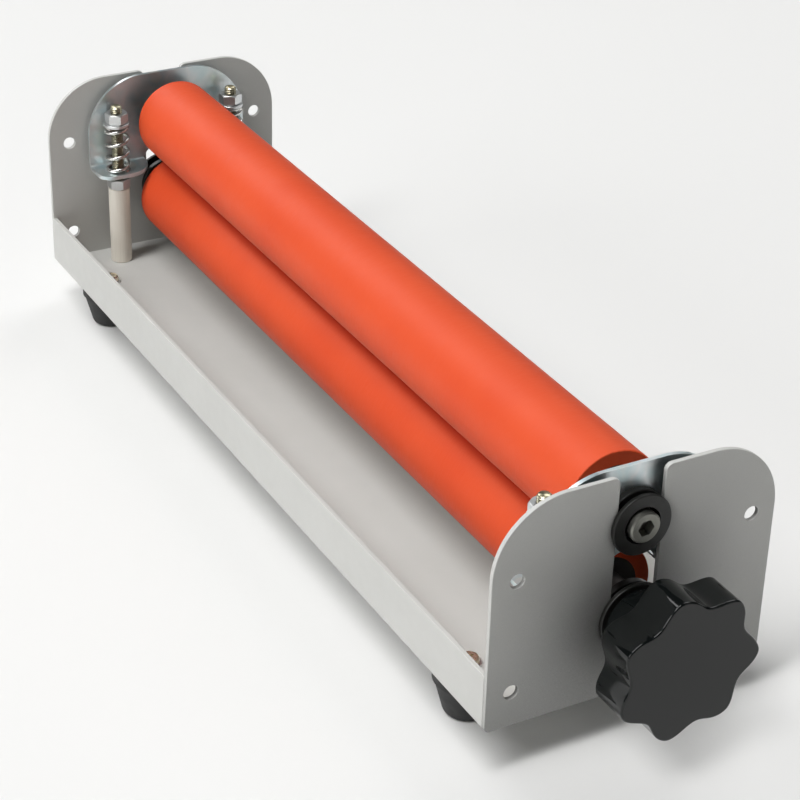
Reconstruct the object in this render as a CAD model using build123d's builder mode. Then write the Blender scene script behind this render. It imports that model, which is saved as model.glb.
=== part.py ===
"""Tabletop cold roll laminator: a sheet-metal frame with a driven lower roller and a sprung upper roller.

Frame of reference: millimetres, origin on the table plane under the middle of the machine.
+X runs along the rollers to the knob, +Y to the back, +Z up. The front is the -Y side.
"""

from build123d import *
from math import cos, pi, sin
import os

# ---- Sheet-metal frame ----
FRAME_LENGTH = 433.5
FRAME_DEPTH = 122.0
SHEET = 2.0
FOOT_HEIGHT = 19.5
LIP_HEIGHT = 24.5
BEND_OUTER_RADIUS = 2.5
PLATE_HEIGHT = 95.4
PLATE_CORNER_RADIUS = 30.0
SHEET_EDGE_ROUND = 0.3
COVER_HOLE_RADIUS = 3.0
COVER_HOLE_SPACING_Y = 101.0
COVER_HOLE_SPACING_Z = 48.3
COVER_HOLE_LOWEST = 15.2

# ---- Rollers ----
ROLLER_RADIUS = 20.0
ROLLER_LENGTH = 397.0
SLEEVE_EDGE_ROUND = 0.5
CORE_RADIUS = 14.0
NIP_GAP = 0.1
LOWER_AXIS_HEIGHT = 33.6
JOURNAL_RADIUS = 6.0
SHOULDER_RADIUS = 8.0

# ---- Slots and bushings ----
SLOT_WIDTH = 19.5
SLOT_MOUTH_ROUND = 3.0
SLIDING_GAP = 0.05
JOURNAL_GAP = 0.06
END_FLOAT = 0.1
FLANGE_THICKNESS = 2.0
FLANGE_ROUND = 0.5
UPPER_FLANGE_RADIUS = 12.5
LOWER_OUTER_FLANGE_RADIUS = 14.5
LOWER_INNER_FLANGE_RADIUS = 13.0
BOSS_RADIUS = 9.0
BOSS_STANDOUT = 0.8
HEAD_POCKET_RADIUS = 7.6
HEAD_POCKET_DEPTH = 6.0

# ---- Pressure brackets ----
BRACKET_SHEET = 1.8
BRACKET_TO_PLATE = 3.25
BRACKET_HALF_WIDTH = 41.8
BRACKET_CORNER_RADIUS = 29.0
BRACKET_ARCH_RADIUS = 15.0
BRACKET_ARCH_HEIGHT = 44.5
BEND_INNER_RADIUS = 1.5
TAB_UNDERSIDE = 49.4
TAB_LENGTH = 16.7
TAB_OUTER_ROUND = 7.0
TAB_INNER_ROUND = 14.0
TAB_HOLE_RADIUS = 3.5

# ---- Spring stacks: an M6 screw standing up from the floor at each corner of the rollers ----
STACK_X = 200.5
STACK_Y = 30.8
M6_RADIUS = 2.95
M6_HOLE_RADIUS = 3.0
M6_CLEARANCE_RADIUS = 3.2
M6_ACROSS_FLATS = 10.0
M6_HEAD_HEIGHT = 4.0
NUT_FACE_LAND = 0.1
STUD_TOP = 85.3
STUD_CHAMFER = 0.7
POST_RADIUS = 5.25
POST_TOP = 42.0
POST_CHAMFER = 0.3
JAM_NUT_HEIGHT = 5.0
SPRING_TOP = 75.0
SPRING_OUTER_RADIUS = 6.2
SPRING_WIRE_RADIUS = 0.95
SPRING_PITCH = 6.8
WASHER_RADIUS = 6.25
WASHER_THICKNESS = 1.6
WASHER_ROUND = 0.3
PRESSURE_NUT_HEIGHT = 5.2

# ---- M8 socket-head screws in the roller ends ----
M8_RADIUS = 3.95
M8_HOLE_RADIUS = 4.0
M8_HEAD_RADIUS = 6.35
M8_HEAD_HEIGHT = 8.0
M8_LENGTH = 20.0
M8_SOCKET_ACROSS_FLATS = 6.0
M8_SOCKET_DEPTH = 4.0
M8_HEAD_CHAMFER = 0.6

# ---- Feet and their screws ----
FOOT_X = 179.0
FOOT_Y = 45.5
FOOT_FLANGE_RADIUS = 14.0
FOOT_FLANGE_HEIGHT = 3.8
FOOT_NECK_RADIUS = 13.4
FOOT_BASE_RADIUS = 9.2
FOOT_BASE_ROUND = 3.0
M4_RADIUS = 1.95
M4_HOLE_RADIUS = 2.0
M4_CLEARANCE_RADIUS = 2.2
M4_HEAD_RADIUS = 4.0
M4_HEAD_HEIGHT = 2.6
M4_LENGTH = 14.0
M4_WASHER_RADIUS = 4.9
M4_WASHER_THICKNESS = 0.8
M4_CROSS_LENGTH = 3.8
M4_CROSS_WIDTH = 0.9
M4_CROSS_DEPTH = 1.3
INSERT_RADIUS = 3.5
INSERT_BOTTOM = 7.0
INSERT_TOP = 14.0

# ---- Hand knob ----
KNOB_FACE_STANDOUT = 37.7
KNOB_BODY_THICKNESS = 17.3
KNOB_MEAN_RADIUS = 27.8
KNOB_LOBE_DEPTH = 2.6
KNOB_LOBES = 7
KNOB_LOBE_ANGLE = 0.04
KNOB_EDGE_ROUND = 0.8
KNOB_HUB_RADIUS = 13.0
KNOB_HUB_STANDOFF = 3.15
KNOB_FRONT_WALL = 4.4
KNOB_BUSH_RADIUS = 9.0
KNOB_BUSH_GAP = 0.03
SET_SCREW_RADIUS = 2.5
SET_SCREW_GAP = 0.05
SET_SCREW_OFFSET = 12.0
SET_SCREW_RECESS = 1.0
SET_SCREW_ACROSS_FLATS = 2.5
SET_SCREW_SOCKET_DEPTH = 2.0

# ---- Worked out from the sizes above ----
FLOOR_TOP = FOOT_HEIGHT + SHEET
PLATE_TOP = FOOT_HEIGHT + PLATE_HEIGHT
PLATE_OUTER_X = FRAME_LENGTH / 2
PLATE_INNER_X = PLATE_OUTER_X - SHEET
SLEEVE_END_X = ROLLER_LENGTH / 2
LOWER_AXIS_Z = FOOT_HEIGHT + LOWER_AXIS_HEIGHT
UPPER_AXIS_Z = LOWER_AXIS_Z + 2 * ROLLER_RADIUS + NIP_GAP
COVER_HOLE_Z = FOOT_HEIGHT + COVER_HOLE_LOWEST + COVER_HOLE_SPACING_Z / 2
NECK_RADIUS = SLOT_WIDTH / 2 - SLIDING_GAP
FLANGE_FACE_X = PLATE_OUTER_X + END_FLOAT + FLANGE_THICKNESS
BRACKET_OUTER_X = PLATE_INNER_X - BRACKET_TO_PLATE
BRACKET_INNER_X = BRACKET_OUTER_X - BRACKET_SHEET
BOSS_FACE_X = BRACKET_INNER_X - BOSS_STANDOUT
POCKET_FLOOR_X = FLANGE_FACE_X - HEAD_POCKET_DEPTH
SCREW_SEAT_X = POCKET_FLOOR_X + END_FLOAT
TAB_BOTTOM_Z = FOOT_HEIGHT + TAB_UNDERSIDE
TAB_TOP_Z = TAB_BOTTOM_Z + BRACKET_SHEET
TAB_TIP_X = BRACKET_INNER_X - TAB_LENGTH
ARCH_Z = FOOT_HEIGHT + BRACKET_ARCH_HEIGHT
POST_TOP_Z = FOOT_HEIGHT + POST_TOP
SPRING_TOP_Z = FOOT_HEIGHT + SPRING_TOP
NUT_SEAT_Z = SPRING_TOP_Z + WASHER_THICKNESS
COIL_RADIUS = SPRING_OUTER_RADIUS - SPRING_WIRE_RADIUS
KNOB_FACE_X = PLATE_OUTER_X + KNOB_FACE_STANDOUT
KNOB_BACK_X = KNOB_FACE_X - KNOB_BODY_THICKNESS
KNOB_HUB_X = PLATE_OUTER_X + KNOB_HUB_STANDOFF
KNOB_BORE_END_X = KNOB_FACE_X - KNOB_FRONT_WALL
SET_SCREW_X = PLATE_OUTER_X + SET_SCREW_OFFSET

ENDS = {"left": -1, "right": 1}
ROWS = {"front": -1, "back": 1}

os.makedirs("parts", exist_ok=True)


def save(piece, label):
    """Names a finished piece and writes it to its own STEP file."""
    piece.part.label = label
    export_step(piece.part, f"parts/{label}.step")


def outward(side, distance, height=0.0):
    """A plane square to the rollers at a distance from the middle, facing away from it, local Y up."""
    return Plane(origin=(side * distance, 0, height), x_dir=(0, side, 0), z_dir=(side, 0, 0))


def turned(side, height, steps, bores):
    """A part turned about a roller axis: solid and hollow steps, each (start, end, radius) along X."""
    with BuildPart() as piece:
        for start, end, radius in steps:
            with BuildSketch(outward(side, start, height)):
                Circle(radius)
            extrude(amount=end - start)
        for start, end, radius in bores:
            with BuildSketch(outward(side, start, height)):
                Circle(radius)
            extrude(amount=end - start, mode=Mode.SUBTRACT)
    return piece


def bushing(side, height, steps, bores):
    """A turned bushing whose flange rims, wider than the slot, are rounded."""
    with BuildPart() as piece:
        add(turned(side, height, steps, bores).part)
        circles = piece.edges().filter_by(GeomType.CIRCLE)
        fillet(circles.filter_by(lambda edge: edge.radius > SLOT_WIDTH / 2), FLANGE_ROUND)
    return piece


def upright(x, y, z):
    """The vertical plane through a corner stack, local X along the rollers and local Y up."""
    return Plane(origin=(x, y, z), x_dir=(1, 0, 0), z_dir=(0, -1, 0))


def hex_nut(x, y, bottom, height):
    """A hexagon nut with a clear bore, the corners of both faces turned down to a cone."""
    corner = M6_ACROSS_FLATS / 3**0.5
    flat = M6_ACROSS_FLATS / 2
    drop = corner - flat
    with BuildPart() as nut:
        with BuildSketch(Plane((x, y, bottom))):
            RegularPolygon(flat, 6, major_radius=False)
            Circle(M6_HOLE_RADIUS, mode=Mode.SUBTRACT)
        extrude(amount=height)
        with BuildSketch(upright(x, y, bottom)):
            with BuildLine():
                Polyline(
                    (0, 0),
                    (flat - NUT_FACE_LAND, 0),
                    (corner, drop),
                    (corner, height - drop),
                    (flat - NUT_FACE_LAND, height),
                    (0, height),
                    close=True,
                )
            make_face()
        revolve(axis=Axis((x, y, bottom), (0, 0, 1)), mode=Mode.INTERSECT)
    return nut


# ---- Base tray: floor with a front and a back lip, bent from one sheet ----
with BuildPart() as base_tray:
    with BuildSketch(outward(1, -PLATE_INNER_X, FOOT_HEIGHT)) as channel:
        with Locations((0, LIP_HEIGHT / 2)):
            Rectangle(FRAME_DEPTH, LIP_HEIGHT)
        fillet(channel.vertices().group_by(Axis.Y)[0], BEND_OUTER_RADIUS)
    extrude(amount=2 * PLATE_INNER_X)
    with BuildSketch(outward(1, -PLATE_INNER_X, FOOT_HEIGHT + SHEET)) as hollow:
        with Locations((0, LIP_HEIGHT / 2)):
            Rectangle(FRAME_DEPTH - 2 * SHEET, LIP_HEIGHT)
        fillet(hollow.vertices().group_by(Axis.Y)[0], BEND_OUTER_RADIUS - SHEET)
    extrude(amount=2 * PLATE_INNER_X, mode=Mode.SUBTRACT)
    with BuildSketch(Plane.XY.offset(FOOT_HEIGHT)):
        with GridLocations(2 * FOOT_X, 2 * FOOT_Y, 2, 2):
            Circle(M4_CLEARANCE_RADIUS)
        with GridLocations(2 * STACK_X, 2 * STACK_Y, 2, 2):
            Circle(M6_CLEARANCE_RADIUS)
    extrude(amount=SHEET, mode=Mode.SUBTRACT)
    lip_edges = base_tray.faces().group_by(Axis.Z)[-1].edges().filter_by(Axis.X)
    fillet(lip_edges, SHEET_EDGE_ROUND)
save(base_tray, "base_tray")

# ---- End plates: rounded top corners, a slot open at the top and four cover holes ----
for end, side in ENDS.items():
    with BuildPart() as end_plate:
        with BuildSketch(outward(side, PLATE_INNER_X)) as outline:
            with Locations((0, (FOOT_HEIGHT + PLATE_TOP) / 2)):
                Rectangle(FRAME_DEPTH, PLATE_HEIGHT)
            fillet(outline.vertices().group_by(Axis.Y)[-1], PLATE_CORNER_RADIUS)
            fillet(outline.vertices().group_by(Axis.Y)[0], BEND_OUTER_RADIUS)
            with Locations((0, (LOWER_AXIS_Z + PLATE_TOP) / 2)):
                Rectangle(SLOT_WIDTH, PLATE_TOP - LOWER_AXIS_Z, mode=Mode.SUBTRACT)
            with Locations((0, LOWER_AXIS_Z)):
                Circle(SLOT_WIDTH / 2, mode=Mode.SUBTRACT)
            for half in (-1, 1):
                mouth = outline.vertices().sort_by_distance((half * SLOT_WIDTH / 2, PLATE_TOP))[0]
                fillet(mouth, SLOT_MOUTH_ROUND)
            with Locations((0, COVER_HOLE_Z)):
                with GridLocations(COVER_HOLE_SPACING_Y, COVER_HOLE_SPACING_Z, 2, 2):
                    Circle(COVER_HOLE_RADIUS, mode=Mode.SUBTRACT)
        extrude(amount=SHEET)
        faces = end_plate.faces().filter_by(Axis.X)
        fillet(faces.sort_by(SortBy.AREA)[-2:].edges(), SHEET_EDGE_ROUND)
    save(end_plate, f"end_plate_{end}")

# ---- Lower bushings: flanged both sides of the end plate, seated at the bottom of the slot ----
for end, side in ENDS.items():
    pocket = (POCKET_FLOOR_X, FLANGE_FACE_X, HEAD_POCKET_RADIUS)
    bore = (BRACKET_OUTER_X, FLANGE_FACE_X, JOURNAL_RADIUS + JOURNAL_GAP)
    lower_bushing = bushing(
        side,
        LOWER_AXIS_Z,
        steps=[
            (BRACKET_OUTER_X, PLATE_INNER_X - END_FLOAT, LOWER_INNER_FLANGE_RADIUS),
            (PLATE_INNER_X - END_FLOAT, PLATE_OUTER_X + END_FLOAT, NECK_RADIUS),
            (PLATE_OUTER_X + END_FLOAT, FLANGE_FACE_X, LOWER_OUTER_FLANGE_RADIUS),
        ],
        bores=[bore, pocket] if end == "left" else [bore],
    )
    save(lower_bushing, f"lower_bushing_{end}")

# ---- Upper bushings: they slide in the slot and carry the pressure bracket on an inner boss ----
for end, side in ENDS.items():
    upper_bushing = bushing(
        side,
        UPPER_AXIS_Z,
        steps=[
            (BOSS_FACE_X, BRACKET_OUTER_X, BOSS_RADIUS),
            (BRACKET_OUTER_X, PLATE_INNER_X - END_FLOAT, UPPER_FLANGE_RADIUS),
            (PLATE_INNER_X - END_FLOAT, PLATE_OUTER_X + END_FLOAT, NECK_RADIUS),
            (PLATE_OUTER_X + END_FLOAT, FLANGE_FACE_X, UPPER_FLANGE_RADIUS),
        ],
        bores=[
            (BOSS_FACE_X, POCKET_FLOOR_X, JOURNAL_RADIUS + JOURNAL_GAP),
            (POCKET_FLOOR_X, FLANGE_FACE_X, HEAD_POCKET_RADIUS),
        ],
    )
    save(upper_bushing, f"upper_bushing_{end}")

# ---- Pressure brackets: a plate bent inwards at the bottom into two tabs that sit on the springs ----
arch_foot = (BRACKET_ARCH_RADIUS**2 - (TAB_TOP_Z - ARCH_Z) ** 2) ** 0.5
tab_width = BRACKET_HALF_WIDTH - arch_foot
for end, side in ENDS.items():
    plate_x = side * (BRACKET_INNER_X + BRACKET_SHEET / 2)
    tab_x = side * (TAB_TIP_X + BRACKET_OUTER_X) / 2
    with BuildPart() as bracket:
        with BuildSketch(upright(0, 0, 0)) as bent_sheet:
            with Locations((plate_x, (TAB_BOTTOM_Z + PLATE_TOP) / 2)):
                Rectangle(BRACKET_SHEET, PLATE_TOP - TAB_BOTTOM_Z)
            with Locations((tab_x, TAB_BOTTOM_Z + BRACKET_SHEET / 2)):
                Rectangle(BRACKET_OUTER_X - TAB_TIP_X, BRACKET_SHEET)
            heel = bent_sheet.vertices().sort_by_distance((side * BRACKET_OUTER_X, TAB_BOTTOM_Z))[0]
            fillet(heel, BEND_INNER_RADIUS + BRACKET_SHEET)
            crook = bent_sheet.vertices().sort_by_distance((side * BRACKET_INNER_X, TAB_TOP_Z))[0]
            fillet(crook, BEND_INNER_RADIUS)
        extrude(amount=BRACKET_HALF_WIDTH, both=True)
        with BuildSketch(outward(side, 0)) as front_outline:
            with Locations((0, (TAB_BOTTOM_Z + PLATE_TOP) / 2)):
                Rectangle(2 * BRACKET_HALF_WIDTH, PLATE_TOP - TAB_BOTTOM_Z)
            fillet(front_outline.vertices().group_by(Axis.Y)[-1], BRACKET_CORNER_RADIUS)
            with Locations((0, ARCH_Z)):
                Circle(BRACKET_ARCH_RADIUS, mode=Mode.SUBTRACT)
            with Locations((0, UPPER_AXIS_Z)):
                Circle(BOSS_RADIUS + SLIDING_GAP, mode=Mode.SUBTRACT)
        extrude(amount=PLATE_OUTER_X, mode=Mode.INTERSECT)
        with BuildSketch(Plane.XY.offset(TAB_BOTTOM_Z)) as top_outline:
            with Locations((plate_x, 0)):
                Rectangle(BRACKET_SHEET, 2 * BRACKET_HALF_WIDTH)
            with GridLocations(0, 2 * arch_foot + tab_width, 1, 2):
                with Locations((tab_x, 0)):
                    Rectangle(BRACKET_OUTER_X - TAB_TIP_X, tab_width)
            for bank in ROWS.values():
                outer_corner = (side * TAB_TIP_X, bank * BRACKET_HALF_WIDTH)
                fillet(top_outline.vertices().sort_by_distance(outer_corner)[0], TAB_OUTER_ROUND)
                inner_corner = (side * TAB_TIP_X, bank * arch_foot)
                fillet(top_outline.vertices().sort_by_distance(inner_corner)[0], TAB_INNER_ROUND)
            with Locations((side * STACK_X, -STACK_Y), (side * STACK_X, STACK_Y)):
                Circle(TAB_HOLE_RADIUS, mode=Mode.SUBTRACT)
        extrude(amount=PLATE_HEIGHT, mode=Mode.INTERSECT)
    save(bracket, f"pressure_bracket_{end}")

# ---- Rollers: a steel core with turned journals inside a rubber sleeve ----
for roller, height in (("lower", LOWER_AXIS_Z), ("upper", UPPER_AXIS_Z)):
    with BuildPart() as sleeve:
        with BuildSketch(outward(1, -SLEEVE_END_X, height)):
            Circle(ROLLER_RADIUS)
            Circle(CORE_RADIUS, mode=Mode.SUBTRACT)
        extrude(amount=ROLLER_LENGTH)
        rims = sleeve.edges().filter_by(GeomType.CIRCLE).group_by(SortBy.RADIUS)[-1]
        fillet(rims, SLEEVE_EDGE_ROUND)
    save(sleeve, f"{roller}_roller_sleeve")

screw_hole = (SCREW_SEAT_X - M8_LENGTH - END_FLOAT, SCREW_SEAT_X, M8_HOLE_RADIUS)
upper_half = [
    (0, SLEEVE_END_X, CORE_RADIUS),
    (SLEEVE_END_X, BOSS_FACE_X - END_FLOAT, SHOULDER_RADIUS),
    (BOSS_FACE_X - END_FLOAT, SCREW_SEAT_X, JOURNAL_RADIUS),
]
lower_half = [
    (0, SLEEVE_END_X, CORE_RADIUS),
    (SLEEVE_END_X, BRACKET_OUTER_X - END_FLOAT, SHOULDER_RADIUS),
    (BRACKET_OUTER_X - END_FLOAT, SCREW_SEAT_X, JOURNAL_RADIUS),
]
knob_tail = (SCREW_SEAT_X, KNOB_BORE_END_X - END_FLOAT, JOURNAL_RADIUS)

with BuildPart() as upper_roller_shaft:
    for half in ENDS.values():
        add(turned(half, UPPER_AXIS_Z, upper_half, [screw_hole]).part)
save(upper_roller_shaft, "upper_roller_shaft")

with BuildPart() as lower_roller_shaft:
    add(turned(ENDS["left"], LOWER_AXIS_Z, lower_half, [screw_hole]).part)
    add(turned(ENDS["right"], LOWER_AXIS_Z, [*lower_half, knob_tail], []).part)
save(lower_roller_shaft, "lower_roller_shaft")

# ---- M8 socket-head screws that keep the journals in their bushings ----
end_screws = (
    ("upper_end_screw_left", ENDS["left"], UPPER_AXIS_Z),
    ("upper_end_screw_right", ENDS["right"], UPPER_AXIS_Z),
    ("lower_end_screw", ENDS["left"], LOWER_AXIS_Z),
)
for label, side, height in end_screws:
    with BuildPart() as end_screw:
        with BuildSketch(outward(side, SCREW_SEAT_X - M8_LENGTH, height)):
            Circle(M8_RADIUS)
        extrude(amount=M8_LENGTH)
        with BuildSketch(outward(side, SCREW_SEAT_X, height)):
            Circle(M8_HEAD_RADIUS)
        extrude(amount=M8_HEAD_HEIGHT)
        head_face = end_screw.faces().filter_by(Axis.X).sort_by(Axis.X)[-1 if side > 0 else 0]
        chamfer(head_face.edges(), M8_HEAD_CHAMFER)
        with BuildSketch(outward(side, SCREW_SEAT_X + M8_HEAD_HEIGHT, height)):
            RegularPolygon(M8_SOCKET_ACROSS_FLATS / 2, 6, major_radius=False)
        extrude(amount=-M8_SOCKET_DEPTH, mode=Mode.SUBTRACT)
    save(end_screw, label)

# ---- Knob: seven shallow lobes and a hub, moulded round a brass bush with a set screw ----
lobe_points = []
for step in range(4 * KNOB_LOBES):
    angle = 2 * pi * step / (4 * KNOB_LOBES)
    reach = KNOB_MEAN_RADIUS + KNOB_LOBE_DEPTH * cos(KNOB_LOBES * (angle + KNOB_LOBE_ANGLE))
    lobe_points.append((reach * cos(angle), reach * sin(angle)))

screw_plane = Plane(origin=(SET_SCREW_X, 0, LOWER_AXIS_Z), x_dir=(1, 0, 0), z_dir=(0, 1, 0))

with BuildPart() as knob:
    with BuildSketch(outward(1, KNOB_BACK_X, LOWER_AXIS_Z)):
        with BuildLine():
            Spline(*lobe_points, periodic=True)
        make_face()
    extrude(amount=KNOB_BODY_THICKNESS)
    faces = knob.faces().filter_by(Axis.X)
    fillet(faces.edges(), KNOB_EDGE_ROUND)
    with BuildSketch(outward(1, KNOB_HUB_X, LOWER_AXIS_Z)):
        Circle(KNOB_HUB_RADIUS)
    extrude(amount=KNOB_BACK_X - KNOB_HUB_X)
    with BuildSketch(outward(1, KNOB_HUB_X, LOWER_AXIS_Z)):
        Circle(KNOB_BUSH_RADIUS)
    extrude(amount=KNOB_BORE_END_X - KNOB_HUB_X, mode=Mode.SUBTRACT)
    with BuildSketch(screw_plane):
        Circle(SET_SCREW_RADIUS + SET_SCREW_GAP)
    extrude(amount=KNOB_MEAN_RADIUS, mode=Mode.SUBTRACT)
save(knob, "knob")

with BuildPart() as knob_bush:
    with BuildSketch(outward(1, KNOB_HUB_X, LOWER_AXIS_Z)):
        Circle(KNOB_BUSH_RADIUS)
        Circle(JOURNAL_RADIUS + KNOB_BUSH_GAP, mode=Mode.SUBTRACT)
    extrude(amount=KNOB_BORE_END_X - KNOB_HUB_X)
    with BuildSketch(screw_plane):
        Circle(SET_SCREW_RADIUS + SET_SCREW_GAP)
    extrude(amount=KNOB_HUB_RADIUS, mode=Mode.SUBTRACT)
save(knob_bush, "knob_bush")

with BuildPart() as knob_set_screw:
    with BuildSketch(screw_plane.offset(JOURNAL_RADIUS + KNOB_BUSH_GAP)):
        Circle(SET_SCREW_RADIUS)
    extrude(amount=KNOB_HUB_RADIUS - SET_SCREW_RECESS - JOURNAL_RADIUS - KNOB_BUSH_GAP)
    with BuildSketch(screw_plane.offset(KNOB_HUB_RADIUS - SET_SCREW_RECESS)):
        RegularPolygon(SET_SCREW_ACROSS_FLATS / 2, 6, major_radius=False)
    extrude(amount=-SET_SCREW_SOCKET_DEPTH, mode=Mode.SUBTRACT)
save(knob_set_screw, "knob_set_screw")

# ---- Spring stacks at the four corners ----
for end, side in ENDS.items():
    for row, bank in ROWS.items():
        x = side * STACK_X
        y = bank * STACK_Y
        corner = f"{row}_{end}"

        with BuildPart() as stud:
            with BuildSketch(Plane((x, y, FOOT_HEIGHT - M6_HEAD_HEIGHT))):
                RegularPolygon(M6_ACROSS_FLATS / 2, 6, major_radius=False)
            extrude(amount=M6_HEAD_HEIGHT)
            with BuildSketch(Plane((x, y, FOOT_HEIGHT))):
                Circle(M6_RADIUS)
            extrude(amount=STUD_TOP)
            chamfer(stud.faces().sort_by(Axis.Z)[-1].edges(), STUD_CHAMFER)
        save(stud, f"stud_{corner}")

        with BuildPart() as post:
            with BuildSketch(Plane((x, y, FLOOR_TOP))):
                Circle(POST_RADIUS)
                Circle(M6_CLEARANCE_RADIUS, mode=Mode.SUBTRACT)
            extrude(amount=POST_TOP_Z - FLOOR_TOP)
            rims = post.edges().filter_by(GeomType.CIRCLE).group_by(SortBy.RADIUS)[-1]
            chamfer(rims, POST_CHAMFER)
        save(post, f"post_{corner}")

        save(hex_nut(x, y, POST_TOP_Z, JAM_NUT_HEIGHT), f"jam_nut_{corner}")

        with BuildPart() as spring:
            first_z = TAB_TOP_Z + SPRING_WIRE_RADIUS + SLIDING_GAP
            last_z = SPRING_TOP_Z - SPRING_WIRE_RADIUS - SLIDING_GAP
            with BuildLine() as coil:
                Helix(SPRING_PITCH, last_z - first_z, COIL_RADIUS, center=(x, y, first_z))
            with BuildSketch(Plane(origin=coil.line @ 0, z_dir=coil.line % 0)):
                Circle(SPRING_WIRE_RADIUS)
            sweep(is_frenet=True)
        save(spring, f"spring_{corner}")

        with BuildPart() as washer:
            with BuildSketch(Plane((x, y, SPRING_TOP_Z))):
                Circle(WASHER_RADIUS)
                Circle(M6_CLEARANCE_RADIUS, mode=Mode.SUBTRACT)
            extrude(amount=WASHER_THICKNESS)
            rims = washer.edges().filter_by(GeomType.CIRCLE).group_by(SortBy.RADIUS)[-1]
            fillet(rims, WASHER_ROUND)
        save(washer, f"washer_{corner}")

        save(hex_nut(x, y, NUT_SEAT_Z, PRESSURE_NUT_HEIGHT), f"pressure_nut_{corner}")

# ---- Feet: tapered rubber with a flange under the tray and a threaded insert ----
for end, side in ENDS.items():
    for row, bank in ROWS.items():
        x = side * FOOT_X
        y = bank * FOOT_Y
        flange_z = FOOT_HEIGHT - FOOT_FLANGE_HEIGHT
        with BuildPart() as foot:
            with BuildSketch(upright(x, y, 0)) as half_section:
                with BuildLine():
                    Polyline(
                        (0, 0),
                        (FOOT_BASE_RADIUS, 0),
                        (FOOT_NECK_RADIUS, flange_z),
                        (FOOT_FLANGE_RADIUS, flange_z),
                        (FOOT_FLANGE_RADIUS, FOOT_HEIGHT),
                        (0, FOOT_HEIGHT),
                        close=True,
                    )
                make_face()
                base_corner = half_section.vertices().sort_by_distance((FOOT_BASE_RADIUS, 0))[0]
                fillet(base_corner, FOOT_BASE_ROUND)
            revolve(axis=Axis((x, y, 0), (0, 0, 1)))
            with BuildSketch(Plane((x, y, INSERT_BOTTOM))):
                Circle(INSERT_RADIUS)
            extrude(amount=INSERT_TOP - INSERT_BOTTOM, mode=Mode.SUBTRACT)
            with BuildSketch(Plane((x, y, INSERT_TOP))):
                Circle(M4_CLEARANCE_RADIUS)
            extrude(amount=FOOT_HEIGHT - INSERT_TOP, mode=Mode.SUBTRACT)
        save(foot, f"foot_{row}_{end}")

with BuildPart() as foot_inserts:
    with BuildSketch(Plane.XY.offset(INSERT_BOTTOM)):
        with GridLocations(2 * FOOT_X, 2 * FOOT_Y, 2, 2):
            Circle(INSERT_RADIUS)
            Circle(M4_HOLE_RADIUS, mode=Mode.SUBTRACT)
    extrude(amount=INSERT_TOP - INSERT_BOTTOM)
save(foot_inserts, "foot_inserts")

with BuildPart() as foot_washers:
    with BuildSketch(Plane.XY.offset(FLOOR_TOP)):
        with GridLocations(2 * FOOT_X, 2 * FOOT_Y, 2, 2):
            Circle(M4_WASHER_RADIUS)
            Circle(M4_CLEARANCE_RADIUS, mode=Mode.SUBTRACT)
    extrude(amount=M4_WASHER_THICKNESS)
save(foot_washers, "foot_washers")

head_z = FLOOR_TOP + M4_WASHER_THICKNESS
with BuildPart() as foot_screws:
    with BuildSketch(Plane.XY.offset(head_z - M4_LENGTH)):
        with GridLocations(2 * FOOT_X, 2 * FOOT_Y, 2, 2):
            Circle(M4_RADIUS)
    extrude(amount=M4_LENGTH)
    with BuildSketch(Plane.XY.offset(head_z)):
        with GridLocations(2 * FOOT_X, 2 * FOOT_Y, 2, 2):
            Circle(M4_HEAD_RADIUS)
    extrude(amount=M4_HEAD_HEIGHT)
    fillet(foot_screws.faces().group_by(Axis.Z)[-1].edges(), M4_HEAD_HEIGHT / 2)
    with BuildSketch(Plane.XY.offset(head_z + M4_HEAD_HEIGHT)):
        with GridLocations(2 * FOOT_X, 2 * FOOT_Y, 2, 2):
            Rectangle(M4_CROSS_LENGTH, M4_CROSS_WIDTH)
            Rectangle(M4_CROSS_WIDTH, M4_CROSS_LENGTH)
    extrude(amount=-M4_CROSS_DEPTH, mode=Mode.SUBTRACT)
save(foot_screws, "foot_screws")
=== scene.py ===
"""Looks of the cold roll laminator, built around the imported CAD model. Metres, the model's own frame."""

import math

import bpy
from mathutils import Matrix, Vector


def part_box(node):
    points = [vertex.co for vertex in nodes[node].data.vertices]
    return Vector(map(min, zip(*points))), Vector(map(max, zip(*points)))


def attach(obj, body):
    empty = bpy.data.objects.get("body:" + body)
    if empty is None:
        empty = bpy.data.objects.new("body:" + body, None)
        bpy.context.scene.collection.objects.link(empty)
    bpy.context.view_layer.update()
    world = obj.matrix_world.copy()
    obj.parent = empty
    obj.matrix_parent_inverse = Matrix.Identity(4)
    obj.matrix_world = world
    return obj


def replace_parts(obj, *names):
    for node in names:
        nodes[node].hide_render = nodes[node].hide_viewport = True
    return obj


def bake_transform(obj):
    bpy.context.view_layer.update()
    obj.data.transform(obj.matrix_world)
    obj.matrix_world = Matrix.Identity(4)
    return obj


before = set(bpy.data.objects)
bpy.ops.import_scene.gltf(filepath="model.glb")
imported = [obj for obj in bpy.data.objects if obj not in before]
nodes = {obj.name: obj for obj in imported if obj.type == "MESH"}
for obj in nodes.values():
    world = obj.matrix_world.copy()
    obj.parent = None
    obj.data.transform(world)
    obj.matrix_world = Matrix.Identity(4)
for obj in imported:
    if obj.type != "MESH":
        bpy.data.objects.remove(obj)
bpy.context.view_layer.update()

MM = 0.001
CORNERS = ("front_left", "back_left", "front_right", "back_right")


# ---------------------------------------------------------------- node materials

# rays that the edge and closeness nodes send from each point
PROBE_RAYS = 6


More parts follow.
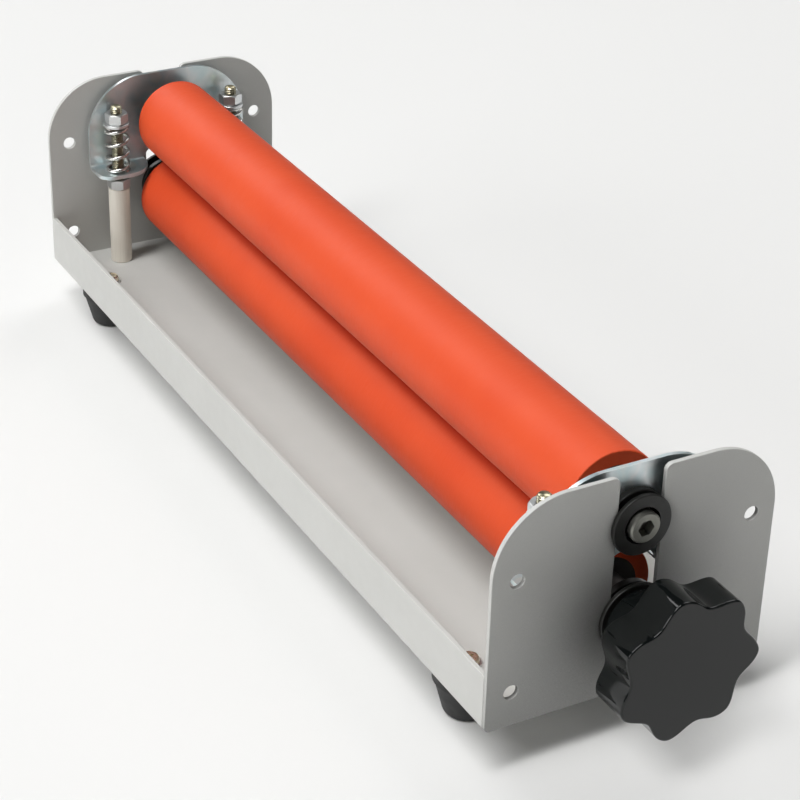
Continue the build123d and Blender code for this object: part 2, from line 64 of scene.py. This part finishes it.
class Shader:
    """A Principled material with short calls for the procedural nodes used here. Lengths are in metres."""

    def __init__(self, name, **values):
        self.material = bpy.data.materials.new(name)
        self.material.use_nodes = True
        self.tree = self.material.node_tree
        self.surface = self.tree.nodes["Principled BSDF"]
        self.place = self.tree.nodes.new("ShaderNodeTexCoord").outputs["Object"]
        self.set(**values)

    def link(self, source, socket):
        """Feeds a socket from another node's output, or sets it to a plain value or an RGB colour."""
        if isinstance(source, bpy.types.NodeSocket):
            self.tree.links.new(source, socket)
        elif socket.type == "RGBA":
            socket.default_value = (*source, 1.0)
        else:
            socket.default_value = source

    def set(self, **values):
        """Sets or links inputs of the Principled node; base_color stands for Base Color."""
        for key, value in values.items():
            label = key.replace("_", " ").title().replace("Ior", "IOR")
            self.link(value, self.surface.inputs[label])

    def node(self, kind, **inputs):
        made = self.tree.nodes.new(kind)
        for key, value in inputs.items():
            self.link(value, made.inputs[key])
        return made

    def spread(self, stretch):
        """The object's coordinates, scaled along each axis."""
        return self.node("ShaderNodeMapping", Vector=self.place, Scale=stretch).outputs["Vector"]

    def noise(self, size, detail=2.0, roughness=0.5, stretch=(1, 1, 1)):
        """Soft noise, 0 to 1, with blobs about size across; stretch lengthens them along an axis."""
        scale = [1 / (size * s) for s in stretch]
        made = self.node(
            "ShaderNodeTexNoise", Vector=self.spread(scale), Scale=1.0, Detail=detail, Roughness=roughness
        )
        return made.outputs["Fac"]

    def remap(self, value, low, high, to_low=0.0, to_high=1.0):
        """Stretches the range low to high onto to_low to to_high, and clamps what lies outside it."""
        names = {"From Min": low, "From Max": high, "To Min": to_low, "To Max": to_high}
        return self.node("ShaderNodeMapRange", Value=value, **names).outputs["Result"]

    def ramp(self, value, *stops):
        """A colour ramp through (position, colour) stops."""
        made = self.node("ShaderNodeValToRGB", Fac=value)
        elements = made.color_ramp.elements
        while len(elements) < len(stops):
            elements.new(0.5)
        for element, (position, colour) in zip(elements, stops):
            element.position = position
            element.color = (*colour, 1.0)
        return made.outputs["Color"]

    def mix(self, factor, first, second):
        """A colour from first to second as the factor goes from 0 to 1."""
        made = self.tree.nodes.new("ShaderNodeMix")
        made.data_type = "RGBA"
        self.link(factor, made.inputs["Factor"])
        self.link(first, made.inputs["A"])
        self.link(second, made.inputs["B"])
        return made.outputs["Result"]

    def times(self, first, second):
        made = self.tree.nodes.new("ShaderNodeMath")
        made.operation = "MULTIPLY"
        self.link(first, made.inputs[0])
        self.link(second, made.inputs[1])
        return made.outputs["Value"]

    def tint(self, colour, toward, mask, share):
        """Takes the colour a share of the way toward another one where the mask is 1."""
        return self.mix(self.times(mask, share), colour, toward)

    def bump(self, height, depth, strength=1.0, normal=None):
        """Bumps the surface by height times depth, on top of an earlier normal."""
        made = self.node("ShaderNodeBump", Height=height, Distance=depth, Strength=strength)
        if normal is not None:
            self.link(normal, made.inputs["Normal"])
        return made.outputs["Normal"]

    def seen_by(self, ray):
        """1 for one kind of ray, such as "Is Diffuse Ray" or "Is Glossy Ray", 0 for the others."""
        return self.tree.nodes.new("ShaderNodeLightPath").outputs[ray]

    def closeness(self, distance):
        """1 where other surfaces stand all round within a distance, 0 in the open."""
        made = self.node("ShaderNodeAmbientOcclusion", Distance=distance)
        made.samples = PROBE_RAYS
        return self.remap(made.outputs["AO"], 0.95, 0.15)

    def worn_and_highlit_edges(self, radius):
        """1 on sharp convex edges, 0 elsewhere: how far the surface normal turns within a radius."""
        bevel = self.tree.nodes.new("ShaderNodeBevel")
        bevel.samples = PROBE_RAYS
        bevel.inputs["Radius"].default_value = radius
        geometry = self.tree.nodes.new("ShaderNodeNewGeometry")
        turned = self.tree.nodes.new("ShaderNodeVectorMath")
        turned.operation = "DOT_PRODUCT"
        self.link(bevel.outputs["Normal"], turned.inputs[0])
        self.link(geometry.outputs["Normal"], turned.inputs[1])
        return self.remap(turned.outputs["Value"], 1.0, 0.8)


def powder_coat(name, contact_shade=0.0):
    """Light grey powder coat: fine orange peel, faint tone changes, edges paler, partly from wear and
    partly as painted highlight.

    contact_shade paints shade into the paint colour, darker where another part stands close in front of
    it.
    """
    coat = Shader(name, specular_ior_level=0.4)
    tone = coat.noise(60 * MM, detail=3)
    grain = coat.noise(0.35 * MM, detail=1)
    paint = coat.ramp(tone, (0.3, (0.525, 0.525, 0.505)), (0.7, (0.565, 0.565, 0.545)))
    paint = coat.mix(coat.remap(grain, 0.35, 0.75, 0.0, 0.10), paint, (0.62, 0.62, 0.60))
    # painted highlight with some wear: the paint is lighter on sharp edges
    paint = coat.tint(paint, (0.72, 0.72, 0.70), coat.worn_and_highlit_edges(0.6 * MM), 0.35)
    # painted shade: the paint turns towards black where other parts stand close, most of all round the
    # knob
    if contact_shade:
        paint = coat.tint(paint, (0.03, 0.03, 0.03), coat.closeness(80 * MM), contact_shade)
    coat.set(base_color=paint)
    coat.set(roughness=coat.remap(coat.noise(5 * MM), 0.3, 0.7, 0.42, 0.54))
    peel = coat.bump(coat.noise(1.6 * MM, detail=1), 0.012 * MM)
    coat.set(normal=coat.bump(grain, 0.004 * MM, normal=peel))
    return coat.material


def silicone():
    """Orange ground silicone rubber: satin, with fine grinding marks round the roller."""
    rubber = Shader("orange_silicone", specular_ior_level=0.4)
    tone = rubber.noise(45 * MM, detail=2)
    colour = rubber.ramp(tone, (0.3, (0.66, 0.064, 0.012)), (0.7, (0.70, 0.078, 0.017)))
    dust = rubber.remap(rubber.noise(0.5 * MM, detail=3), 0.66, 0.8, 0.0, 0.12)
    colour = rubber.mix(dust, colour, (0.9, 0.35, 0.2))
    # the light that the rollers throw onto the grey sheet and into the zinc is muted
    colour = rubber.tint(colour, (0.60, 0.52, 0.47), rubber.seen_by("Is Diffuse Ray"), 0.88)
    colour = rubber.tint(colour, (0.24, 0.20, 0.19), rubber.seen_by("Is Glossy Ray"), 0.85)
    # painted shade: the rubber darkens to a deep red where the rollers stand close, in the nip between
    # them
    colour = rubber.tint(colour, (0.45, 0.004, 0.0), rubber.closeness(7 * MM), 0.9)
    rubber.set(base_color=colour)
    grinding = rubber.noise(0.4 * MM, detail=2, stretch=(1, 12, 12))
    rubber.set(roughness=rubber.remap(grinding, 0.3, 0.7, 0.5, 0.64))
    rubber.set(normal=rubber.bump(grinding, 0.006 * MM))
    return rubber.material


def zinc(name, shades, roughness, film=0.35, crevice_shade=0.0):
    """Electroplated zinc: metal whose passivation film shifts slowly between a few shades.

    film is how strongly the shades show; grime paints shade into the metal between other parts, as inside
    a spring.
    """
    plate = Shader(name, metallic=1.0)
    clouds = plate.ramp(plate.noise(14 * MM, detail=2, roughness=0.4), *shades)
    mottle = plate.mix(plate.noise(3 * MM, detail=2), shades[0][1], shades[-1][1])
    colour = plate.mix(film, mottle, clouds)
    # painted highlight with some wear: the zinc turns almost white on sharp edges
    colour = plate.tint(colour, (0.95, 0.96, 0.96), plate.worn_and_highlit_edges(0.4 * MM), 0.8)
    # painted shade: the metal darkens where other parts stand close
    if crevice_shade:
        colour = plate.tint(colour, (0.10, 0.08, 0.05), plate.closeness(5 * MM), crevice_shade)
    plate.set(base_color=colour)
    plate.set(roughness=plate.remap(plate.noise(2.5 * MM, detail=2), 0.3, 0.7, *roughness))
    plate.set(normal=plate.bump(plate.noise(2.5 * MM, detail=1), 0.004 * MM))
    return plate.material


def steel(name, colour, roughness, streak):
    """Turned or drawn metal: fine streaks, lengthened along each axis by the streak's factors."""
    metal = Shader(name, metallic=1.0)
    streaks = metal.noise(0.25 * MM, detail=3, stretch=streak)
    darker = [c * 0.8 for c in colour]
    metal.set(base_color=metal.mix(streaks, darker, colour))
    metal.set(roughness=metal.remap(streaks, 0.3, 0.7, *roughness))
    metal.set(normal=metal.bump(streaks, 0.004 * MM))
    return metal.material


def black_plastic(name, colour, roughness, peel, dust):
    """Moulded black plastic or rubber: orange peel of depth peel, faint dust."""
    plastic = Shader(name, specular_ior_level=0.42)
    speck = plastic.remap(plastic.noise(0.6 * MM, detail=3), 0.62, 0.85, 0.0, dust)
    plastic.set(base_color=plastic.mix(speck, colour, (0.35, 0.35, 0.34)))
    plastic.set(roughness=plastic.remap(plastic.noise(4 * MM, detail=3), 0.3, 0.7, *roughness))
    plastic.set(normal=plastic.bump(plastic.noise(2.2 * MM, detail=1), peel))
    return plastic.material


def post_coating():
    """Off-white painted tube with faint lengthwise draw lines."""
    coat = Shader("post_coating", specular_ior_level=0.45)
    lines = coat.noise(0.5 * MM, detail=2, stretch=(1, 1, 30))
    coat.set(base_color=coat.ramp(lines, (0.3, (0.78, 0.735, 0.65)), (0.7, (0.84, 0.795, 0.71))))
    coat.set(roughness=coat.remap(coat.noise(3 * MM), 0.3, 0.7, 0.38, 0.5))
    coat.set(normal=coat.bump(lines, 0.006 * MM))
    return coat.material


BLUE_ZINC = [
    (0.25, (0.55, 0.72, 0.77)),
    (0.45, (0.80, 0.83, 0.84)),
    (0.60, (0.64, 0.76, 0.78)),
    (0.75, (0.84, 0.81, 0.75)),
]
WHITE_ZINC = [(0.3, (0.66, 0.67, 0.66)), (0.5, (0.74, 0.74, 0.71)), (0.7, (0.70, 0.72, 0.74))]
YELLOW_ZINC = [
    (0.25, (0.60, 0.52, 0.32)),
    (0.45, (0.66, 0.61, 0.42)),
    (0.6, (0.56, 0.56, 0.40)),
    (0.75, (0.64, 0.53, 0.40)),
]
COPPER_ZINC = [(0.3, (0.90, 0.79, 0.60)), (0.55, (0.97, 0.90, 0.74)), (0.75, (0.86, 0.70, 0.57))]

paint = powder_coat("powder_coat")
# the right end plate carries painted shade round the knob
paint_with_knob_shade = powder_coat("powder_coat_with_knob_shade", contact_shade=0.9)
orange = silicone()
bracket_zinc = zinc("bracket_zinc", BLUE_ZINC, (0.36, 0.46), film=0.9)
nut_zinc = zinc("nut_zinc", WHITE_ZINC, (0.30, 0.44))
# the stud carries painted shade inside its spring
stud_zinc = zinc("stud_zinc", YELLOW_ZINC, (0.26, 0.36), film=0.8, crevice_shade=0.8)
screw_zinc = zinc("screw_zinc", COPPER_ZINC, (0.22, 0.36), film=0.8)
spring_steel = steel("spring_steel", (0.78, 0.77, 0.74), (0.16, 0.30), (1, 1, 1))
core_steel = steel("core_steel", (0.16, 0.15, 0.145), (0.35, 0.5), (1, 14, 14))
head_steel = steel("head_steel", (0.30, 0.30, 0.27), (0.34, 0.5), (1, 6, 6))
brass = steel("brass", (0.78, 0.60, 0.30), (0.25, 0.4), (1, 8, 8))
bushing_black = black_plastic("bushing_black", (0.009, 0.009, 0.008), (0.32, 0.46), 0.01 * MM, dust=0.012)
knob_black = black_plastic("knob_black", (0.004, 0.005, 0.005), (0.05, 0.10), 0.006 * MM, dust=0.004)
foot_rubber = black_plastic("foot_rubber", (0.022, 0.022, 0.022), (0.55, 0.7), 0.02 * MM, dust=0.03)
post_paint = post_coating()

# each node gets the finish of the longest prefix that fits its name
FINISH = {
    "base_tray": paint,
    "end_plate_left": paint,
    "end_plate_right": paint_with_knob_shade,
    "lower_bushing": bushing_black,
    "upper_bushing": bushing_black,
    "pressure_bracket": bracket_zinc,
    "lower_roller_sleeve": orange,
    "upper_roller_sleeve": orange,
    "lower_roller_shaft": core_steel,
    "upper_roller_shaft": core_steel,
    "lower_end_screw": head_steel,
    "upper_end_screw": head_steel,
    "knob_bush": brass,
    "knob_set_screw": head_steel,
    "knob": knob_black,
    "stud": stud_zinc,
    "post": post_paint,
    "jam_nut": nut_zinc,
    "spring": spring_steel,
    "washer": nut_zinc,
    "pressure_nut": nut_zinc,
    "foot_inserts": brass,
    "foot_washers": nut_zinc,
    "foot_screws": screw_zinc,
    "foot": foot_rubber,
}

for name, node in nodes.items():
    finish = max((prefix for prefix in FINISH if name.startswith(prefix)), key=len)
    node.data.materials.clear()
    node.data.materials.append(FINISH[finish])


# ---------------------------------------------------------------- threads and springs


def tube(name, rings, material):
    """A closed mesh through rings of points, all with the same count, with a flat cap at each end."""
    count = len(rings[0])
    faces = [tuple(range(count - 1, -1, -1))]
    for row in range(len(rings) - 1):
        low = row * count
        for here in range(count):
            after = (here + 1) % count
            faces.append((low + here, low + after, low + count + after, low + count + here))
    last = (len(rings) - 1) * count
    faces.append(tuple(range(last, last + count)))
    mesh = bpy.data.meshes.new(name)
    mesh.from_pydata([point for ring in rings for point in ring], [], faces)
    mesh.materials.append(material)
    mesh.shade_smooth()
    mesh.set_sharp_from_angle(angle=math.radians(50))
    piece = bpy.data.objects.new(name, mesh)
    bpy.context.collection.objects.link(piece)
    return piece


M6_PITCH = 1.0 * MM
M6_CREST = 2.95 * MM
M6_ROOT = 2.42 * MM
M6_TIP_CHAMFER = 0.7 * MM
# the thread's profile is a triangle wave from 0 to 1, steepened and lowered, then cut off at 0 and 1
FLANK_SLOPE = 1.35
FLANK_DROP = 0.15
HEAD_HEIGHT = 4.0 * MM
HEAD_APOTHEM = 5.0 * MM
HEAD_BEVEL = 0.4 * MM
THREAD_SEGMENTS = 24
RINGS_PER_TURN = 8


def hexagon_reach(angle):
    """How far a hexagon with a corner at angle 0 reaches from its middle."""
    return HEAD_APOTHEM / math.cos(angle % (math.pi / 3) - math.pi / 6)


def thread_reach(angle, height):
    """The radius of a right-hand M6 thread: straight flanks with a narrow flat at crest and root."""
    turn = (height / M6_PITCH - angle / math.tau) % 1.0
    wave = 1 - abs(2 * turn - 1)
    flank = min(1.0, max(0.0, FLANK_SLOPE * wave - FLANK_DROP))
    return M6_ROOT + (M6_CREST - M6_ROOT) * flank


def threaded_stud(corner):
    """An M6 screw standing on its hexagon head, in place of the plain CAD stud."""
    low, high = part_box(f"stud_{corner}")
    middle_x = (low[0] + high[0]) / 2
    middle_y = (low[1] + high[1]) / 2
    shank_low = low[2] + HEAD_HEIGHT
    angles = [math.tau * step / THREAD_SEGMENTS for step in range(THREAD_SEGMENTS)]

    def ring(height, reach):
        return [
            (middle_x + reach(angle) * math.cos(angle), middle_y + reach(angle) * math.sin(angle), height)
            for angle in angles
        ]

    rings = [
        ring(low[2], lambda angle: HEAD_APOTHEM - HEAD_BEVEL),
        ring(low[2] + HEAD_BEVEL, hexagon_reach),
        ring(shank_low, hexagon_reach),
        ring(shank_low, lambda angle: M6_ROOT),
    ]
    steps = round((high[2] - shank_low) / M6_PITCH * RINGS_PER_TURN)
    for step in range(1, steps + 1):
        height = shank_low + (high[2] - shank_low) * step / steps
        cone = M6_CREST - M6_TIP_CHAMFER + (high[2] - height)
        rings.append(ring(height, lambda angle: min(cone, thread_reach(angle, height - shank_low))))
    stud = tube(f"threaded_stud_{corner}", rings, stud_zinc)
    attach(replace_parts(stud, f"stud_{corner}"), "frame")


SPRING_TURNS = 4.8
CLOSED_PITCH = 0.5 * MM
OPEN_PITCH = 6.8 * MM
# in turns from the spring's middle: where the pitch starts to close up, and where it is closed
OPEN_REACH = 1.3
CLOSED_REACH = 2.0
WIRE_RADIUS = 0.95 * MM
WIRE_SEGMENTS = 14
STEPS_PER_TURN = 48
# the two pieces meet at this share of the height; this length at each end is carried in the table of
# halves, which nothing reads
SPLIT_SHARE = 0.67
RIGID_END = 3 * MM
FIRST_ANGLES = {"front_left": 0.35, "back_left": 1.9, "front_right": 3.4, "back_right": 5.1}


def smoothstep(value, low, high):
    """Rises smoothly from 0 at low to 1 at high."""
    t = min(1.0, max(0.0, (value - low) / (high - low)))
    return t * t * (3 - 2 * t)


def coil_path(low_z, high_z):
    """Heights of the wire's middle along a spring whose pitch closes up towards both ends."""
    steps = round(SPRING_TURNS * STEPS_PER_TURN)
    rises = []
    for step in range(steps):
        from_middle = abs((step + 0.5) / STEPS_PER_TURN - SPRING_TURNS / 2)
        opening = 1 - smoothstep(from_middle, OPEN_REACH, CLOSED_REACH)
        rises.append((CLOSED_PITCH + (OPEN_PITCH - CLOSED_PITCH) * opening) / STEPS_PER_TURN)
    start = (low_z + high_z - sum(rises)) / 2
    heights = [start]
    for rise in rises:
        heights.append(heights[-1] + rise)
    return heights


def spring(corner):
    """A compression spring with closed, ground ends, in two pieces that meet inside the coil.

    The lower piece runs from the bottom of the coil to the middle, the upper one from the middle to the
    top.
    """
    low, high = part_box(f"spring_{corner}")
    middle_x = (low[0] + high[0]) / 2
    middle_y = (low[1] + high[1]) / 2
    coil_radius = (high[0] - low[0]) / 2 - WIRE_RADIUS
    heights = coil_path(low[2], high[2])
    rings = []
    for step, height in enumerate(heights):
        angle = FIRST_ANGLES[corner] + math.tau * step / STEPS_PER_TURN
        ring = []
        for part in range(WIRE_SEGMENTS):
            around = math.tau * part / WIRE_SEGMENTS
            reach = coil_radius + WIRE_RADIUS * math.cos(around)
            wire_z = height + WIRE_RADIUS * math.sin(around)
            ground_z = min(high[2], max(low[2], wire_z))
            ring.append((middle_x + reach * math.cos(angle), middle_y + reach * math.sin(angle), ground_z))
        rings.append(ring[::-1])
    split_z = low[2] + SPLIT_SHARE * (high[2] - low[2])
    split = next(index for index, height in enumerate(heights) if height > split_z)
    halves = (
        ("lower", rings[: split + 1], "carriage", "frame", low[2] + RIGID_END, split_z),
        ("upper", rings[split:], "frame", f"washer_{corner}", split_z, high[2] - RIGID_END),
    )
    for half, half_rings, below, above, start_z, end_z in halves:
        piece = tube(f"spring_{half}_{corner}", half_rings, spring_steel)
        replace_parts(piece, f"spring_{corner}")
        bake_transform(piece)


for corner in CORNERS:
    threaded_stud(corner)
    spring(corner)


# ---------------------------------------------------------------- floor, light and camera

FLOOR_HALF = 6.0
FADE_START = 1.2
FADE_END = 2.8
BACKDROP = 0.88
WORLD_GLOW = 0.015


def floor_paper():
    """Pale matt paper that the camera sees fade into the backdrop far from the object."""
    paper = Shader("studio_paper", base_color=(0.80, 0.80, 0.79), roughness=0.9)
    paper.set(normal=paper.bump(paper.noise(2 * MM), 0.02 * MM))
    far_off = paper.tree.nodes.new("ShaderNodeVectorMath")
    far_off.operation = "LENGTH"
    paper.link(paper.place, far_off.inputs[0])
    distance = paper.remap(far_off.outputs["Value"], FADE_START, FADE_END)
    fade = paper.times(distance, paper.seen_by("Is Camera Ray"))
    glow = paper.node("ShaderNodeEmission", Color=(BACKDROP, BACKDROP, 0.99 * BACKDROP))
    blended = paper.node("ShaderNodeMixShader", Fac=fade)
    paper.link(paper.surface.outputs["BSDF"], blended.inputs[1])
    paper.link(glow.outputs["Emission"], blended.inputs[2])
    paper.link(blended.outputs["Shader"], paper.tree.nodes["Material Output"].inputs["Surface"])
    return paper.material


def studio_floor():
    """A square of paper that the object stands on."""
    corners = [(x * FLOOR_HALF, y * FLOOR_HALF, 0) for x, y in ((-1, -1), (1, -1), (1, 1), (-1, 1))]
    mesh = bpy.data.meshes.new("studio_floor")
    mesh.from_pydata(corners, [], [(0, 1, 2, 3)])
    mesh.materials.append(floor_paper())
    floor = bpy.data.objects.new("studio_floor", mesh)
    bpy.context.collection.objects.link(floor)


def softbox(name, toward, distance, width, height, power):
    """A rectangular area light seen in a direction from the object, facing it; power is in watts."""
    data = bpy.data.lights.new(name, "AREA")
    data.shape = "RECTANGLE"
    data.size = width
    data.size_y = height
    data.energy = power
    lamp = bpy.data.objects.new(name, data)
    lamp.location = Vector(toward).normalized() * distance
    lamp.rotation_euler = (-lamp.location).to_track_quat("-Z", "Y").to_euler()
    bpy.context.collection.objects.link(lamp)
    return lamp


def studio_world():
    """A nearly dark surrounding that only the camera sees as a pale backdrop."""
    world = bpy.data.worlds.new("studio")
    bpy.context.scene.world = world
    world.use_nodes = True
    sky = world.node_tree.nodes["Background"].inputs
    sky["Color"].default_value = (1.0, 1.0, 0.99, 1.0)
    seen = world.node_tree.nodes.new("ShaderNodeLightPath")
    brightness = world.node_tree.nodes.new("ShaderNodeMapRange")
    brightness.inputs["To Min"].default_value = WORLD_GLOW
    brightness.inputs["To Max"].default_value = BACKDROP
    world.node_tree.links.new(seen.outputs["Is Camera Ray"], brightness.inputs["Value"])
    world.node_tree.links.new(brightness.outputs["Result"], sky["Strength"])


studio_floor()
main_light = softbox("front_and_top", (0.12, -0.5, 1.0), 6.0, 1.4, 5.2, 328)
softbox("low_front", (0.1, -1.0, 0.35), 6.0, 4.0, 2.0, 95)
softbox("back_left", (-0.5, 0.8, 1.0), 6.0, 3.0, 3.0, 80)
softbox("left", (-1.0, -0.2, 0.7), 6.0, 3.0, 3.0, 105)
softbox("right_back", (1.0, 0.8, 0.6), 5.0, 2.0, 2.0, 6)
studio_world()

# the knob throws no shadow of the main light
unshadowed = bpy.data.collections.new("unshadowed")
unshadowed.objects.link(nodes["knob"])
unshadowed.collection_objects[0].light_linking.link_state = "EXCLUDE"
main_light.light_linking.blocker_collection = unshadowed

# degrees from the object's front, above the floor and round the line of sight
VIEW_AZIMUTH = 60.725
VIEW_ELEVATION = 29.48
VIEW_ROLL = 1.681
VIEW_DISTANCE = 0.939
VIEW_TARGET = Vector((0.05327, -0.00827, 0.0625))
LENS_MM = 100.91
SENSOR_MM = 36.0
NEAR_CLIP = 0.01


def product_camera():
    """The photograph's view: back points from the target to the camera."""
    azimuth = math.radians(VIEW_AZIMUTH)
    elevation = math.radians(VIEW_ELEVATION)
    back = Vector(
        (
            math.sin(azimuth) * math.cos(elevation),
            -math.cos(azimuth) * math.cos(elevation),
            math.sin(elevation),
        )
    )
    camera = bpy.data.objects.new("camera", bpy.data.cameras.new("camera"))
    bpy.context.collection.objects.link(camera)
    camera.data.lens = LENS_MM
    camera.data.sensor_width = SENSOR_MM
    camera.data.clip_start = NEAR_CLIP
    camera.location = VIEW_TARGET + back * VIEW_DISTANCE
    upright = (-back).to_track_quat("-Z", "Y").to_matrix()
    roll = Matrix.Rotation(math.radians(VIEW_ROLL), 3, "Z")
    camera.rotation_euler = (upright @ roll).to_euler()
    return camera


bpy.context.scene.camera = product_camera()
bpy.context.scene.view_settings.view_transform = "Standard"
